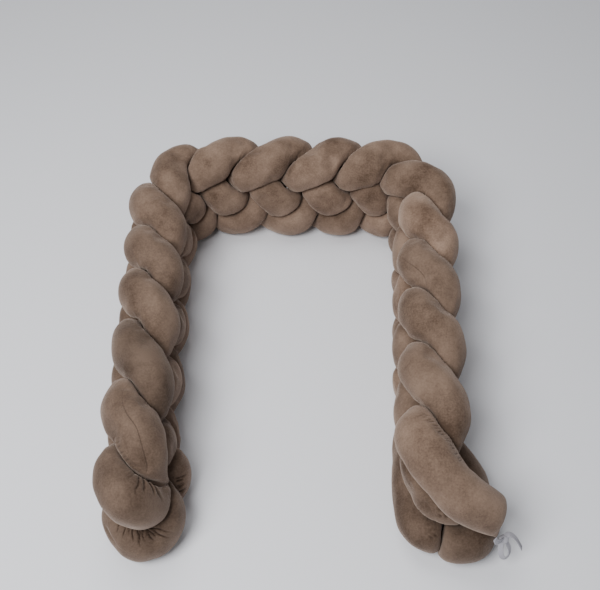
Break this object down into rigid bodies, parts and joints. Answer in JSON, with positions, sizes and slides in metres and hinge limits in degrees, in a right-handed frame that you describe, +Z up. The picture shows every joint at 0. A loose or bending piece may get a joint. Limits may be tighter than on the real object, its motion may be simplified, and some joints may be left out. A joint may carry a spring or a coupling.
{
  "type": "braided crib bumper",
  "caption": "Long padded braid of stuffed velvet tubes, set on edge in a U to line the head end of a cot, with a tape tie at one end.",
  "frame": {"origin": "middle of the bounding box, on the plane that the braid rests on", "axes": "+Z up, +Y towards the closed head end of the U, +X to the right of someone looking towards it from the open end"},
  "size_m": [0.6452, 0.8036, 0.2006],
  "materials": {
    "velvet_upper": "short pile velvet",
    "velvet_lower": "short pile velvet",
    "cotton_tape": "woven cotton tape"
  },
  "bodies": {
    "root": {"upper_fold_tube": "velvet_upper", "lower_fold_tube": "velvet_lower", "tape_tie": "cotton_tape"}
  },
  "joints": []
}
